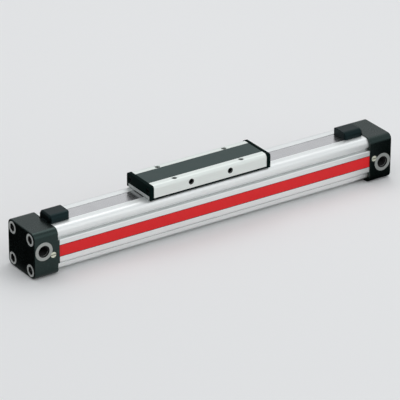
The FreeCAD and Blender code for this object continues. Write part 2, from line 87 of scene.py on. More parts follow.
def from_screen(red: int, green: int, blue: int) -> Colour:
    """Linear colour of a screen colour.

    Args:
        red: Red as a screen shows it, 0 to 255.
        green: Green, likewise.
        blue: Blue, likewise.

    Returns:
        The same colour as linear red, green and blue.
    """

    def linear(value: int) -> float:
        """One channel, made linear."""
        share = value / SCREEN_TOP
        if share <= SCREEN_KNEE:
            return share / SCREEN_SLOPE
        return ((share + SCREEN_OFFSET) / (1 + SCREEN_OFFSET)) ** SCREEN_POWER

    return linear(red), linear(green), linear(blue)


def opaque(colour: Colour) -> Opaque:
    """A colour with full opacity, as a node takes it."""
    return (*colour, 1.0)


class Side(Enum):
    """The two ends of the barrel."""

    LEFT = "left"
    RIGHT = "right"


class Lay(Enum):
    """Which way the fine lines of a surface run, as the pull on x, y and z that draws them out."""

    ALONG_BARREL = (0.012, 1.0, 1.0)
    ACROSS_BARREL = (1.0, 0.02, 1.0)
    NONE = (1.0, 1.0, 1.0)


class Graph:
    """Adds nodes to one shader tree and joins them."""

    def __init__(self, tree: bpy.types.NodeTree) -> None:
        """Takes the tree that the nodes go into."""
        self.tree = tree

    def put(self, kind: str, values: dict | None = None, **settings: object) -> bpy.types.Node:
        """Adds one node.

        Args:
            kind: Blender's name for the node's type.
            values: Input names or numbers, each with a plain value or a socket to join.
            **settings: Attributes of the node itself.

        Returns:
            The new node.
        """
        node = self.tree.nodes.new(kind)
        for key, value in settings.items():
            setattr(node, key, value)
        for key, value in (values or {}).items():
            if isinstance(value, bpy.types.NodeSocket):
                self.tree.links.new(value, node.inputs[key])
            else:
                node.inputs[key].default_value = value
        return node

    def maths(self, operation: str, first: object, second: object = 0.0) -> bpy.types.NodeSocket:
        """One step of arithmetic, as a socket."""
        return self.put("ShaderNodeMath", {0: first, 1: second}, operation=operation).outputs[0]

    def blend(self, share: object, first: object, second: object) -> bpy.types.NodeSocket:
        """A mix of two colours, as a socket."""
        values = {"Factor": share, 6: first, 7: second}
        return self.put("ShaderNodeMix", values, data_type="RGBA").outputs[2]

    def remap(self, value: object, ends: Span, to: Span = UNIT) -> bpy.types.NodeSocket:
        """A value carried from one range to another and kept inside it."""
        values = {0: value, 1: ends[0], 2: ends[1], 3: to[0], 4: to[1]}
        return self.put("ShaderNodeMapRange", values, clamp=True).outputs[0]

    def place(self) -> bpy.types.NodeSocket:
        """The spot on the piece, in the piece's own coordinates."""
        return self.put("ShaderNodeTexCoord").outputs["Object"]

    def facing(self) -> bpy.types.NodeSocket:
        """The surface's normal."""
        return self.put("ShaderNodeNewGeometry").outputs["Normal"]


class EffectGroup:
    """A shader node group with named inputs and outputs, built once."""

    title = "Effect"
    inputs: dict[str, float] = {}
    outputs: dict[str, str] = {}

    @classmethod
    def tree(cls) -> bpy.types.NodeTree:
        """The group's tree, made at its first use.

        Returns:
            The node group.
        """
        found = bpy.data.node_groups.get(cls.title)
        if found:
            return found
        tree = bpy.data.node_groups.new(cls.title, "ShaderNodeTree")
        for name, start in cls.inputs.items():
            socket = tree.interface.new_socket(name, in_out="INPUT", socket_type="NodeSocketFloat")
            socket.default_value = start
        for name, kind in cls.outputs.items():
            tree.interface.new_socket(name, in_out="OUTPUT", socket_type=kind)
        graph = Graph(tree)
        given = graph.put("NodeGroupInput")
        made = cls.wire(graph, given)
        ends = graph.put("NodeGroupOutput")
        for name, socket in made.items():
            tree.links.new(socket, ends.inputs[name])
        return tree

    @classmethod
    def wire(cls, graph: Graph, given: bpy.types.Node) -> dict[str, bpy.types.NodeSocket]:
        """The group's nodes, which each kind of effect has for itself.

        Args:
            graph: The group's graph.
            given: The node that holds the group's inputs.

        Returns:
            The socket for each output, by the output's name.
        """
        raise NotImplementedError

    @classmethod
    def place(cls, graph: Graph, **values: float) -> bpy.types.Node:
        """Puts the group into a material.

        Args:
            graph: The material's graph.
            **values: The group's inputs, with _ for a space in their names.

        Returns:
            The group's node.
        """
        node = graph.put("ShaderNodeGroup", node_tree=cls.tree())
        for name, value in values.items():
            node.inputs[name.replace("_", " ").capitalize()].default_value = value
        return node


class FineGrain(EffectGroup):
    """Speckle of a coated, cast or moulded skin."""

    title = "Fine grain"
    inputs = {"Scale": 1500.0, "Broad scale": 60.0}
    outputs = {"Value": "NodeSocketFloat", "Broad": "NodeSocketFloat"}
    fine_noise = {"Detail": 3.0, "Roughness": 0.6}
    broad_noise = {"Detail": 2.0}

    @classmethod
    def wire(cls, graph: Graph, given: bpy.types.Node) -> dict[str, bpy.types.NodeSocket]:
        """Two sizes of noise over the piece.

        Args:
            graph: The group's graph.
            given: The node that holds the group's inputs.

        Returns:
            The fine noise and the broad one.
        """
        place = graph.place()
        fine = {"Vector": place, "Scale": given.outputs["Scale"], **cls.fine_noise}
        broad = {"Vector": place, "Scale": given.outputs["Broad scale"], **cls.broad_noise}
        return {
            "Value": graph.put("ShaderNodeTexNoise", fine).outputs[0],
            "Broad": graph.put("ShaderNodeTexNoise", broad).outputs[0],
        }


class DrawnLines(EffectGroup):
    """Fine lines that drawing, rolling or grinding leaves in metal."""

    title = "Drawn lines"
    inputs = {"Scale": 2600.0, "Stretch x": 0.012, "Stretch y": 1.0, "Stretch z": 1.0}
    outputs = {"Value": "NodeSocketFloat", "Scratch": "NodeSocketFloat"}
    line_noise = {"Detail": 4.0, "Roughness": 0.65}
    scratch_scale = 0.35
    scratch_span: Span = (0.70, 0.76)

    @classmethod
    def wire(cls, graph: Graph, given: bpy.types.Node) -> dict[str, bpy.types.NodeSocket]:
        """Noise pulled out along the lay, and a few sharper scratches.

        Args:
            graph: The group's graph.
            given: The node that holds the group's inputs.

        Returns:
            The lines and the scratches.
        """
        place = graph.place()
        stretch = {axis: given.outputs[f"Stretch {'xyz'[axis]}"] for axis in range(3)}
        pull = graph.put("ShaderNodeCombineXYZ", stretch).outputs[0]
        along = graph.put("ShaderNodeVectorMath", {0: place, 1: pull}, operation="MULTIPLY").outputs[0]
        lines = {"Vector": along, "Scale": given.outputs["Scale"], **cls.line_noise}
        noise = graph.put("ShaderNodeTexNoise", lines).outputs[0]
        scale = graph.maths("MULTIPLY", given.outputs["Scale"], cls.scratch_scale)
        rare = graph.put("ShaderNodeTexNoise", {"Vector": along, "Scale": scale}).outputs[0]
        return {"Value": noise, "Scratch": graph.remap(rare, cls.scratch_span)}


class EdgeWear(EffectGroup):
    """Where an edge is rubbed bright, and the normal of its small round."""

    title = "Edge wear"
    inputs = {"Radius": 0.0003, "Break up": 350.0, "Amount": 0.5}
    outputs = {"Mask": "NodeSocketFloat", "Normal": "NodeSocketVector"}
    samples = 4
    edge_span: Span = (0.985, 0.84)
    chip_span: Span = (0.42, 0.60)

    @classmethod
    def wire(cls, graph: Graph, given: bpy.types.Node) -> dict[str, bpy.types.NodeSocket]:
        """Compares the plain normal with the rounded one.

        Args:
            graph: The group's graph.
            given: The node that holds the group's inputs.

        Returns:
            The rubbed share and the rounded normal.
        """
        radius = {"Radius": given.outputs["Radius"]}
        soft = graph.put("ShaderNodeBevel", radius, samples=cls.samples).outputs[0]
        both = {0: soft, 1: graph.facing()}
        alike = graph.put("ShaderNodeVectorMath", both, operation="DOT_PRODUCT")
        edge = graph.remap(alike.outputs["Value"], cls.edge_span)
        cloud = {"Vector": graph.place(), "Scale": given.outputs["Break up"]}
        chips = graph.put("ShaderNodeTexNoise", cloud)
        patch = graph.remap(chips.outputs[0], cls.chip_span)
        worn = graph.maths("MULTIPLY", graph.maths("MULTIPLY", edge, patch), given.outputs["Amount"])
        return {"Mask": worn, "Normal": soft}


class DustFilm(EffectGroup):
    """Thin dust that settles on what faces up."""

    title = "Dust film"
    inputs = {"Amount": 0.1, "Scale": 90.0}
    outputs = {"Mask": "NodeSocketFloat"}
    cloud_noise = {"Detail": 5.0, "Roughness": 0.7}
    cloud_span: Span = (0.40, 0.72)
    cloud_share: Span = (0.15, 1.0)
    upward_span: Span = (0.35, 0.95)

    @classmethod
    def wire(cls, graph: Graph, given: bpy.types.Node) -> dict[str, bpy.types.NodeSocket]:
        """Upward share of the normal, broken by noise.

        Args:
            graph: The group's graph.
            given: The node that holds the group's inputs.

        Returns:
            The dusty share.
        """
        up = graph.put("ShaderNodeSeparateXYZ", {0: graph.facing()}).outputs[2]
        cloud = {"Vector": graph.place(), "Scale": given.outputs["Scale"], **cls.cloud_noise}
        noise = graph.put("ShaderNodeTexNoise", cloud).outputs[0]
        patches = graph.remap(noise, cls.cloud_span, cls.cloud_share)
        both = graph.maths("MULTIPLY", patches, graph.remap(up, cls.upward_span))
        return {"Mask": graph.maths("MULTIPLY", both, given.outputs["Amount"])}


class CreviceShade(EffectGroup):
    """Painted shade: how far a spot lies hidden in a groove or a corner, for darkening its colour."""

    title = "Crevice shade"
    inputs = {"Reach": 0.002, "Amount": 0.5}
    outputs = {"Mask": "NodeSocketFloat"}
    samples = 6
    open_span: Span = (0.92, 0.40)

    @classmethod
    def wire(cls, graph: Graph, given: bpy.types.Node) -> dict[str, bpy.types.NodeSocket]:
        """Turns the open share of the surroundings into a mask.

        Args:
            graph: The group's graph.
            given: The node that holds the group's inputs.

        Returns:
            The shaded share.
        """
        reach = {"Distance": given.outputs["Reach"]}
        around = graph.put("ShaderNodeAmbientOcclusion", reach, samples=cls.samples)
        hidden = graph.remap(around.outputs["AO"], cls.open_span)
        return {"Mask": graph.maths("MULTIPLY", hidden, given.outputs["Amount"])}


@dataclass(frozen=True)
class StripShadowLines:
    """Two lines of painted shadow along a strip, where the lips that hold it meet it.

    Args:
        middle: Height halfway between the lines.
        half: Half their spacing.
        width: How wide each line is.
        fade: Share of the width at which a line is fully dark.
        tone: How much of the strip's colour is left in the line.
    """

    middle: float
    half: float
    width: float
    fade: float = 0.6
    tone: float = 0.06

    def mask(self, graph: Graph) -> bpy.types.NodeSocket:
        """The share of the strip under painted shadow.

        Args:
            graph: The material's graph.

        Returns:
            A socket that is 1 in the lines and 0 between them.
        """
        height = graph.put("ShaderNodeSeparateXYZ", {0: graph.place()}).outputs[2]
        off = graph.maths("ABSOLUTE", graph.maths("SUBTRACT", height, self.middle))
        return graph.remap(off, (self.half - self.width, self.half - self.fade * self.width))


@dataclass(frozen=True)
class Finish:
    """One surface finish, with lengths in metres and linear colours.

    Args:
        title: The material's name.
        colour: Colour of the bare finish.
        roughness: Middle value of its roughness.
        metallic: 1 for bare metal, 0 for paint and plastic.
        lay: Which way its fine lines run.
        line_scale: How fine those lines are.
        grain_scale: How fine its speckle is.
        contrast: How far the pattern moves colour and roughness.
        relief: Height of the pattern.
        worn: Colour of a rubbed edge.
        wear: How much of each edge is rubbed.
        edge: Radius of the small round on each edge.
        dust: How much dust lies on what faces up.
        specular: Strength of the plain reflection.
        sheen: Colour of the plain reflection.
        crevice_shade: How much painted shade darkens grooves and corners.
        reach: How far a wall may stand off to shade a spot.
        lines: Lines of painted shadow along its edges, if it has any.
    """

    title: str
    colour: Colour
    roughness: float
    metallic: float = 0.0
    lay: Lay = Lay.NONE
    line_scale: float = 2600.0
    grain_scale: float = 1500.0
    contrast: float = 0.10
    relief: float = 0.00001
    worn: Colour = (0.5, 0.5, 0.5)
    wear: float = 0.2
    edge: float = 0.0003
    dust: float = 0.05
    specular: float = 0.5
    sheen: Colour = (1.0, 1.0, 1.0)
    crevice_shade: float = 0.4
    reach: float = 0.002
    lines: StripShadowLines | None = None

    # What all finishes have in common: the mix of the pattern, what dust does, and the painted shade in
    # grooves.
    BROAD_SCALE = 70.0
    SCRATCH_DEPTH = 0.25
    FINE_SHARE = 0.65
    PATTERN_SPAN = (0.34, 0.66)
    DUST_COLOUR = (0.42, 0.41, 0.39)
    DUST_ROUGHNESS = 0.5
    CREVICE_SHADE_TONE = 0.15
    ROUGHNESS_RISE = 1.6

    def pattern(self, graph: Graph) -> bpy.types.NodeSocket:
        """The finish's lines or speckle.

        Args:
            graph: The material's graph.

        Returns:
            One value round a half.
        """
        if self.lay is Lay.NONE:
            return FineGrain.place(graph, scale=self.grain_scale).outputs["Value"]
        x, y, z = self.lay.value
        lines = DrawnLines.place(graph, scale=self.line_scale, stretch_x=x, stretch_y=y, stretch_z=z)
        cut = graph.maths("MULTIPLY", lines.outputs["Scratch"], self.SCRATCH_DEPTH)
        return graph.maths("SUBTRACT", lines.outputs["Value"], cut)

    def shade(self, factor: float) -> Opaque:
        """The finish's colour, lighter or darker."""
        red, green, blue = (min(1.0, c * factor) for c in self.colour)
        return red, green, blue, 1.0

    def material(self) -> bpy.types.Material:
        """The finished material, made at its first use.

        Returns:
            The material.
        """
        found = bpy.data.materials.get(self.title)
        if found:
            return found
        made = bpy.data.materials.new(self.title)
        made.use_nodes = True
        made.diffuse_color = opaque(self.colour)
        made.node_tree.nodes.clear()
        graph = Graph(made.node_tree)
        pattern = self.pattern(graph)
        broad = FineGrain.place(graph, broad_scale=self.BROAD_SCALE).outputs["Broad"]
        wear = EdgeWear.place(graph, radius=self.edge, amount=self.wear)
        dust = DustFilm.place(graph, amount=self.dust).outputs["Mask"]
        crevice_shade = CreviceShade.place(graph, amount=self.crevice_shade, reach=self.reach).outputs["Mask"]

        fine_part = graph.maths("MULTIPLY", pattern, self.FINE_SHARE)
        broad_part = graph.maths("MULTIPLY", broad, 1 - self.FINE_SHARE)
        share = graph.remap(graph.maths("ADD", fine_part, broad_part), self.PATTERN_SPAN)
        colour = graph.blend(share, self.shade(1 - self.contrast), self.shade(1 + self.contrast))
        colour = graph.blend(wear.outputs["Mask"], colour, opaque(self.worn))
        colour = graph.blend(dust, colour, opaque(self.DUST_COLOUR))
        # Painted shade: grooves and corners darkened towards a share of the finish's colour.
        colour = graph.blend(crevice_shade, colour, self.shade(self.CREVICE_SHADE_TONE))
        # Painted shadow where the lips of the channel meet the strip.
        if self.lines:
            colour = graph.blend(self.lines.mask(graph), colour, self.shade(self.lines.tone))

        low = self.roughness * (1 - self.contrast)
        high = self.roughness * (1 + self.ROUGHNESS_RISE * self.contrast)
        dusty = graph.maths("MULTIPLY", dust, self.DUST_ROUGHNESS)
        rough = graph.maths("ADD", graph.remap(share, UNIT, (low, high)), dusty)
        bump = {
            "Strength": 1.0,
            "Distance": self.relief,
            "Height": pattern,
            "Normal": wear.outputs["Normal"],
        }
        normal = graph.put("ShaderNodeBump", bump).outputs[0]
        values = {
            "Base Color": colour,
            "Roughness": rough,
            "Normal": normal,
            "Metallic": self.metallic,
            "Specular IOR Level": self.specular,
            "Specular Tint": opaque(self.sheen),
        }
        shader = graph.put("ShaderNodeBsdfPrincipled", values)
        graph.put("ShaderNodeOutputMaterial", {"Surface": shader.outputs[0]})
        return made


@dataclass(frozen=True)
class Finishes:
    """Every finish of the cylinder."""

    barrel: Finish = Finish(
        "anodised extrusion", (0.86, 0.88, 0.875), 0.50, 1.0, Lay.ALONG_BARREL, line_scale=1900.0,
        contrast=0.022, relief=0.000001, worn=(0.93, 0.94, 0.94), wear=0.4, dust=0.02, crevice_shade=0.85,
        reach=0.0005,
    )
    carriage: Finish = Finish(
        "anodised carriage rail", (0.82, 0.86, 0.83), 0.54, 1.0, Lay.ALONG_BARREL, line_scale=1900.0,
        contrast=0.022, relief=0.000001, worn=(0.94, 0.95, 0.95), wear=0.4, dust=0.03,
    )
    machined: Finish = Finish(
        "machined aluminium", (0.64, 0.65, 0.66), 0.34, 1.0, Lay.ACROSS_BARREL, contrast=0.12,
        worn=(0.85, 0.85, 0.86), wear=0.4,
    )
    band: Finish = Finish(
        "rolled steel band", (0.73, 0.725, 0.735), 0.22, 1.0, Lay.ALONG_BARREL, line_scale=3000.0,
        contrast=0.06, relief=0.000003, worn=(0.7, 0.7, 0.7), wear=0.1, edge=0.0001, dust=0.03,
    )
    cap: Finish = Finish(
        "black cap coating", from_screen(6, 10, 9), 0.24, grain_scale=1300.0, contrast=0.18,
        relief=0.00002, worn=(0.045, 0.062, 0.062), wear=0.6, edge=0.0005, dust=0.012,
        sheen=(0.64, 1.0, 0.94),
    )
    clamp: Finish = Finish(
        "black clamp", from_screen(6, 10, 10), 0.34, grain_scale=1700.0, contrast=0.15, relief=0.00002,
        worn=(0.02, 0.032, 0.036), wear=0.3, edge=0.0008, dust=0.0, specular=0.26,
        sheen=(0.46, 0.92, 1.0),
    )
    plate: Finish = Finish(
        "black end plate", from_screen(6, 22, 20), 0.42, grain_scale=1700.0, contrast=0.15, relief=0.00002,
        worn=(0.012, 0.020, 0.020), wear=0.4, dust=0.0, specular=0.01,
    )
    cover: Finish = Finish(
        "dark cover", from_screen(50, 67, 65), 0.50, relief=0.00002, worn=(0.10, 0.12, 0.12), wear=0.35,
        edge=0.0002, dust=0.02, specular=0.3,
    )
    strip: Finish = Finish(
        "red strip", from_screen(227, 24, 30), 0.36, grain_scale=2200.0, contrast=0.05, relief=0.000004,
        worn=from_screen(215, 60, 64), wear=0.25, edge=0.0001, dust=0.0, specular=0.3,
        lines=StripShadowLines(0.0199, 0.0051, 0.0004),
    )
    insert: Finish = Finish(
        "grey port ring", (0.37, 0.39, 0.37), 0.42, 0.3, Lay.ACROSS_BARREL, contrast=0.12,
        worn=(0.55, 0.55, 0.54), wear=0.5,
    )
    bright_screw: Finish = Finish(
        "bright screw", (0.60, 0.62, 0.60), 0.38, 0.25, Lay.ACROSS_BARREL, contrast=0.14,
        worn=(0.62, 0.64, 0.62), wear=0.9, edge=0.0006,
    )
    # Near black, standing for the shade inside holes: painted shade on threads and on the skins in bevels
    # and sockets.
    painted_shade_thread: Finish = Finish(
        "thread in shade", (0.008, 0.008, 0.008), 0.45, contrast=0.2, worn=(0.05, 0.05, 0.05), wear=0.3,
        edge=0.0001, dust=0.0, specular=0.2,
    )
    dark_screw: Finish = Finish(
        "plated screw", from_screen(5, 12, 11), 0.40, contrast=0.12, worn=(0.02, 0.03, 0.028), wear=0.4,
        dust=0.0, specular=0.03,
    )
    needle: Finish = Finish(
        "pale needle screw", (0.74, 0.76, 0.62), 0.36, 0.4, contrast=0.14, worn=(0.9, 0.9, 0.84), wear=0.6,
        edge=0.0002,
    )
    wiper: Finish = Finish(
        "light grey wiper", from_screen(190, 195, 193), 0.55, grain_scale=1900.0, contrast=0.06,
        worn=(0.5, 0.5, 0.5), wear=0.2,
    )
    bearing: Finish = Finish(
        "bearing plastic", from_screen(120, 120, 114), 0.48, grain_scale=1800.0, contrast=0.08,
    )
    magnet: Finish = Finish(
        "bonded magnet", from_screen(62, 58, 55), 0.55, grain_scale=1600.0, contrast=0.14,
    )
    rubber: Finish = Finish(
        "seal rubber", from_screen(36, 36, 37), 0.58, grain_scale=1900.0, contrast=0.12, wear=0.0,
    )


@dataclass
class Piece:
    """Builds closed meshes and hands them to the frame."""

    points: list[Vector] = field(default_factory=list)
    faces: list[tuple[int, ...]] = field(default_factory=list)

    # Edges flatter than this many degrees are shaded smooth.
    SMOOTH_BELOW = 35.0

    def sweep(self, rows: list[list[Vector]]) -> None:
        """Adds a closed tube through rows of section points, with a cap at each end.

        Args:
            rows: The section's points at each station, the same number in each.
        """
        start, count = len(self.points), len(rows[0])
        for row in rows:
            self.points.extend(row)
        for station in range(len(rows) - 1):
            base = start + station * count
            for n in range(count):
                m = (n + 1) % count
                self.faces.append((base + n, base + m, base + count + m, base + count + n))
        last = start + (len(rows) - 1) * count
        self.faces.append(tuple(range(start + count - 1, start - 1, -1)))
        self.faces.append(tuple(range(last, last + count)))

    def thing(self, name: str, finish: Finish, body: str) -> bpy.types.Object:
        """Makes the object, dresses it and puts it on its body.

        Args:
            name: The piece's name.
            finish: Its surface.
            body: The frame's body that it moves with.

        Returns:
            The object.
        """
        mesh = bpy.data.meshes.new(name)
        mesh.from_pydata(self.points, [], self.faces)
        mesh.validate()
        mesh.shade_smooth()
        mesh.set_sharp_from_angle(angle=math.radians(self.SMOOTH_BELOW))
        made = bpy.data.objects.new(name, mesh)
        bpy.context.scene.collection.objects.link(made)
        mesh.materials.append(finish.material())
        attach(made, body)
        LOG.info("made %s on %s", name, body)
        return made


def dress(frame: dict, surfaces: dict[str, Finish]) -> None:
    """Gives CAD nodes their finishes.

    Args:
        frame: The loaded frame.
        surfaces: The finish of each node, by the node's name.
    """
    for node, finish in surfaces.items():
        mesh = frame["nodes"][node].data
        mesh.materials.clear()
        mesh.materials.append(finish.material())
        LOG.info("dressed %s with %s", node, finish.title)


def beside_axis(axis: Vector, angle: float, out: float, along: float) -> Vector:
    """A point beside a hole's axis, seen from a spot on that axis.

    Args:
        axis: The direction that the axis is followed in.
        angle: Where the point lies round the axis.
        out: How far it lies from the axis.
        along: How far along the axis it lies.

    Returns:
        The way from the spot to the point.
    """
    turn = axis.to_track_quat("Z", "Y").to_matrix()
    return turn @ Vector((out * math.cos(angle), out * math.sin(angle), along))


@dataclass
class Thread:
    """An inner screw thread, as a ridge that winds up the wall of a hole.

    Args:
        radius: The hole's radius.
        pitch: How far one turn climbs.
        length: How long the threaded part is.
        depth: How far the ridge stands out from the wall.
        steps: Stations in one turn.
        crest: Share of the ridge's foot that its crest is wide.
    """

    radius: float
    pitch: float
    length: float
    depth: float
    steps: int = 20
    crest: float = 0.2

    def section(self) -> tuple[Span, ...]:
        """The ridge's section.

        Returns:
            Its corners, each as the distance from the axis and the place along it.
        """
        half, tip = self.pitch * 0.5, self.radius - self.depth
        top = half * self.crest
        return (self.radius, -half), (tip, -top), (tip, top), (self.radius, half)

    def cut_into(self, piece: Piece, mouth: Vector, inward: Vector) -> None:
        """Adds the ridge to a piece.

        Args:
            piece: The piece that gets it.
            mouth: The middle of the hole's mouth.
            inward: The direction into the hole.
        """
        section = self.section()
        count = int(self.steps * (self.length - self.pitch) / self.pitch)
        rows = []
        for step in range(count + 1):
            angle = 2 * math.pi * step / self.steps
            rise = self.pitch * (0.5 + step / self.steps)
            rows.append([mouth + beside_axis(inward, angle, out, rise + up) for out, up in section])
        piece.sweep(rows)


@dataclass
class ShadeLining:
    """A thin skin of painted shade on the bevel at a hole's mouth, or in a screw's socket.

    Args:
        inner: Radius at the narrow end.
        outer: Radius at the wide end.
        height: How far apart the two ends are.
        thick: How thick the skin is.
        steps: Stations in one turn, which for a socket are its sides.
        start: Angle of the first station.
    """

    inner: float
    outer: float
    height: float
    thick: float = 0.05 * MM
    steps: int = 48
    start: float = 0.0

    def lay(self, piece: Piece, seat: Vector, outward: Vector) -> None:
        """Adds the skin to a piece.

        Args:
            piece: The piece that gets it.
            seat: The middle of the narrow end.
            outward: The direction out of the hole.
        """
        section = (
            (self.inner, 0.0),
            (self.outer, self.height),
            (self.outer - self.thick, self.height),
            (self.inner - self.thick, 0.0),
        )
        rows = []
        for step in range(self.steps + 1):
            angle = self.start + 2 * math.pi * step / self.steps
            rows.append([seat + beside_axis(outward, angle, out, up) for out, up in section])
        piece.sweep(rows)


@dataclass
class Ribbon:
    """A thin band that follows a path along the barrel.

    Args:
        half: Half its width.
        thick: How thick it is.
        steps: Stations on a ramp.
    """

    half: float
    thick: float
    steps: int = 14

    def lay(self, piece: Piece, path: list[Span]) -> None:
        """Adds the band to a piece.

        Args:
            piece: The piece that gets it.
            path: The middle line of its upper face, as (x, z).
        """
        rows = []
        for x, top in path:
            low = top - self.thick
            corners = ((-self.half, top), (self.half, top), (self.half, low), (-self.half, low))
            rows.append([Vector((x, y, z)) for y, z in corners])
        piece.sweep(rows)

    def ramp(self, start: Span, end: Span) -> list[Span]:
        """A soft ramp from one level to another.

        Args:
            start: Where it starts, as (x, z).
            end: Where it ends.

        Returns:
            The points between them, both ends included.
        """
        points = []
        for n in range(self.steps + 1):
            share = n / self.steps
            ease = share * share * (3 - 2 * share)
            points.append((start[0] + (end[0] - start[0]) * share, start[1] + (end[1] - start[1]) * ease))
        return points


@dataclass
class Barrel:
    """The slotted extrusion with its strips and magnets."""

    frame: dict
    finishes: Finishes

    def build(self) -> None:
        """Dresses the barrel's nodes."""
        surfaces = {
            "profile_barrel": self.finishes.barrel,
            "red_strip_near": self.finishes.strip,
            "red_strip_far": self.finishes.strip,
            "band_magnets": self.finishes.magnet,
        }
        dress(self.frame, surfaces)


@dataclass
class SealingBands:
    """The two steel bands: a seated strip on the barrel, and the part that travels with the yoke.

    Args:
        frame: The loaded frame.
        finishes: Every finish.
        thick: How thick a band is.
        crest: Half the length along which the outer band lies highest.
        ramp: Length of each of its ramps.
        trough: Half the length along which the inner band lies lowest.
        margin: How far inside the yoke's ends it starts to dip.
    """

    frame: dict
    finishes: Finishes
    thick: float = 0.4 * MM
    crest: float = 27 * MM
    ramp: float = 19 * MM
    trough: float = 22 * MM
    margin: float = 2 * MM

    def spans(self, node: str) -> tuple[Vector, Vector]:
        """Where a band's node reaches.

        Args:
            node: The node's name.

        Returns:
            Its lowest and its highest corner.
        """
        low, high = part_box(node)
        LOG.info("%s reaches from %.4f to %.4f", node, low.x, high.x)
        return low, high

    def lay(self, name: str, ribbon: Ribbon, path: list[Span], body: str) -> bpy.types.Object:
        """Makes one piece of a band.

        Args:
            name: The piece's name.
            ribbon: The band's ribbon.
            path: The middle line of its upper face, as (x, z).
            body: The frame's body that it moves with.

        Returns:
            The piece.
        """
        piece = Piece()
        ribbon.lay(piece, path)
        return piece.thing(name, self.finishes.band, body)

    def build(self) -> None:
        """Makes the seated and the travelling pieces of both bands."""
        start, end = (corner.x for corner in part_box("yoke"))
        middle = (start + end) / 2

        low, high = self.spans("outer_band")
        outer = Ribbon(high.y, self.thick)
        seat = low.z + self.thick
        strip = self.lay("outer_band_seated", outer, [(low.x, seat), (high.x, seat)], "barrel")
        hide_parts("outer_band")
        edge = self.crest + self.ramp
        rise = outer.ramp((middle - edge, seat + self.thick), (middle - self.crest, high.z))
        fall = outer.ramp((middle + self.crest, high.z), (middle + edge, seat + self.thick))
        self.lay("outer_band_lifted", outer, rise + fall, "carriage")

        low, high = self.spans("inner_band")
        inner = Ribbon(high.y, self.thick)
        strip = self.lay("inner_band_seated", inner, [(low.x, high.z), (high.x, high.z)], "barrel")
        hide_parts("inner_band")
        edge = middle - start - self.margin
        up, down = high.z - self.thick, low.z + self.thick
        fall = inner.ramp((middle - edge, up), (middle - self.trough, down))
        rise = inner.ramp((middle + self.trough, down), (middle + edge, up))
        self.lay("inner_band_dipped", inner, fall + rise, "carriage")


@dataclass
class EndCap:
    """One end cap with its port, needle screw, cap screws, clamp and threads.

    Args:
        frame: The loaded frame.
        finishes: Every finish.
        side: Which end it is on.
        port_pitch: Pitch of the port's pipe thread.
        port_length: How far that thread goes in.
        port_depth: How high its ridge is.
        port_steps: Stations in one of its turns.
        screw_pitch: Pitch of the threads in the cap screws' heads.
        screw_length: How far they go in.
        screw_depth: How high their ridge is.
        bevel: Size of the bevel at each mouth.
        socket: Distance from the axis to a flat of the hexagon socket.
        socket_deep: How deep the socket is.
        socket_turn: Angle of its first corner.
        floor_rise: How far the painted-shade skin on the socket's floor slopes up.
    """

    frame: dict
    finishes: Finishes
    side: Side
    port_pitch: float = 0.907 * MM
    port_length: float = 8.0 * MM
    port_depth: float = 0.5 * MM
    port_steps: int = 32
    screw_pitch: float = 0.8 * MM
    screw_length: float = 9 * MM
    screw_depth: float = 0.3 * MM
    bevel: float = 0.4 * MM
    socket: float = 3.15 * MM
    socket_deep: float = 1.7 * MM
    socket_turn: float = math.pi / 6
    floor_rise: float = 0.06 * MM

    HEXAGON = 6

    def mount(self, name: str) -> dict:
        """The record's mount of that name at this end."""
        wanted = f"{self.side.value}_{name}"
        return next(m for m in self.frame["record"]["mounts"] if m["name"] == wanted)

    def build(self) -> None:
        """Dresses the cap's nodes and cuts its threads."""
        surfaces = {
            "end_cap": self.finishes.cap,
            "port_insert": self.finishes.insert,
            "cushion_screw": self.finishes.needle,
            "cap_screws": self.finishes.bright_screw,
            "cap_oring": self.finishes.rubber,
            "cushion_boss": self.finishes.machined,
            "band_clamp": self.finishes.clamp,
        }
        end = self.side.value
        dress(self.frame, {f"{node}_{end}": finish for node, finish in surfaces.items()})
        self.thread_port()
        self.thread_screws()

    def thread_port(self) -> None:
        """The pipe thread in the port, and the skin on its bevel, both coloured as painted shade."""
        port = self.mount("port")
        radius = port["dims"]["r_mm"] * MM
        piece = Piece()
        inward = -Vector(port["axis"])
        mouth = Vector(port["pos_m"])
        thread = Thread(radius, self.port_pitch, self.port_length, self.port_depth, self.port_steps)
        thread.cut_into(piece, mouth, inward)
        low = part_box(f"port_insert_{self.side.value}")[0].y
        rise = mouth.y - low
        ShadeLining(radius, radius + rise, rise).lay(piece, mouth, -inward)
        piece.thing(f"port_thread_{self.side.value}", self.finishes.painted_shade_thread, "barrel")

    def thread_screws(self) -> None:
        """The mounting threads in the four cap screws' heads, and the skin that lines their hexagon
        sockets, all coloured as painted shade.
        """
        holes = self.mount("end_holes")
        dims, outward = holes["dims"], Vector(holes["axis"])
        half_y = dims["spacing_x_mm"] * MM / 2
        half_z = dims["spacing_y_mm"] * MM / 2
        radius = dims["hole_r_mm"] * MM
        corner = self.socket / math.cos(math.pi / self.HEXAGON)
        thread = Thread(radius, self.screw_pitch, self.screw_length, self.screw_depth)
        bevel = ShadeLining(radius, radius + self.bevel, self.bevel)
        floor = ShadeLining(radius + self.bevel, self.socket, self.floor_rise)
        wall = ShadeLining(corner, corner, self.socket_deep, steps=self.HEXAGON, start=self.socket_turn)
        piece = Piece()
        for y in (-half_y, half_y):
            for z in (-half_z, half_z):
                mouth = Vector(holes["pos_m"]) + Vector((0, y, z))
                seat = mouth - outward * self.bevel
                thread.cut_into(piece, seat, -outward)
                bevel.lay(piece, seat, outward)
                floor.lay(piece, mouth, outward)
                wall.lay(piece, mouth, outward)
        piece.thing(f"end_threads_{self.side.value}", self.finishes.painted_shade_thread, "barrel")


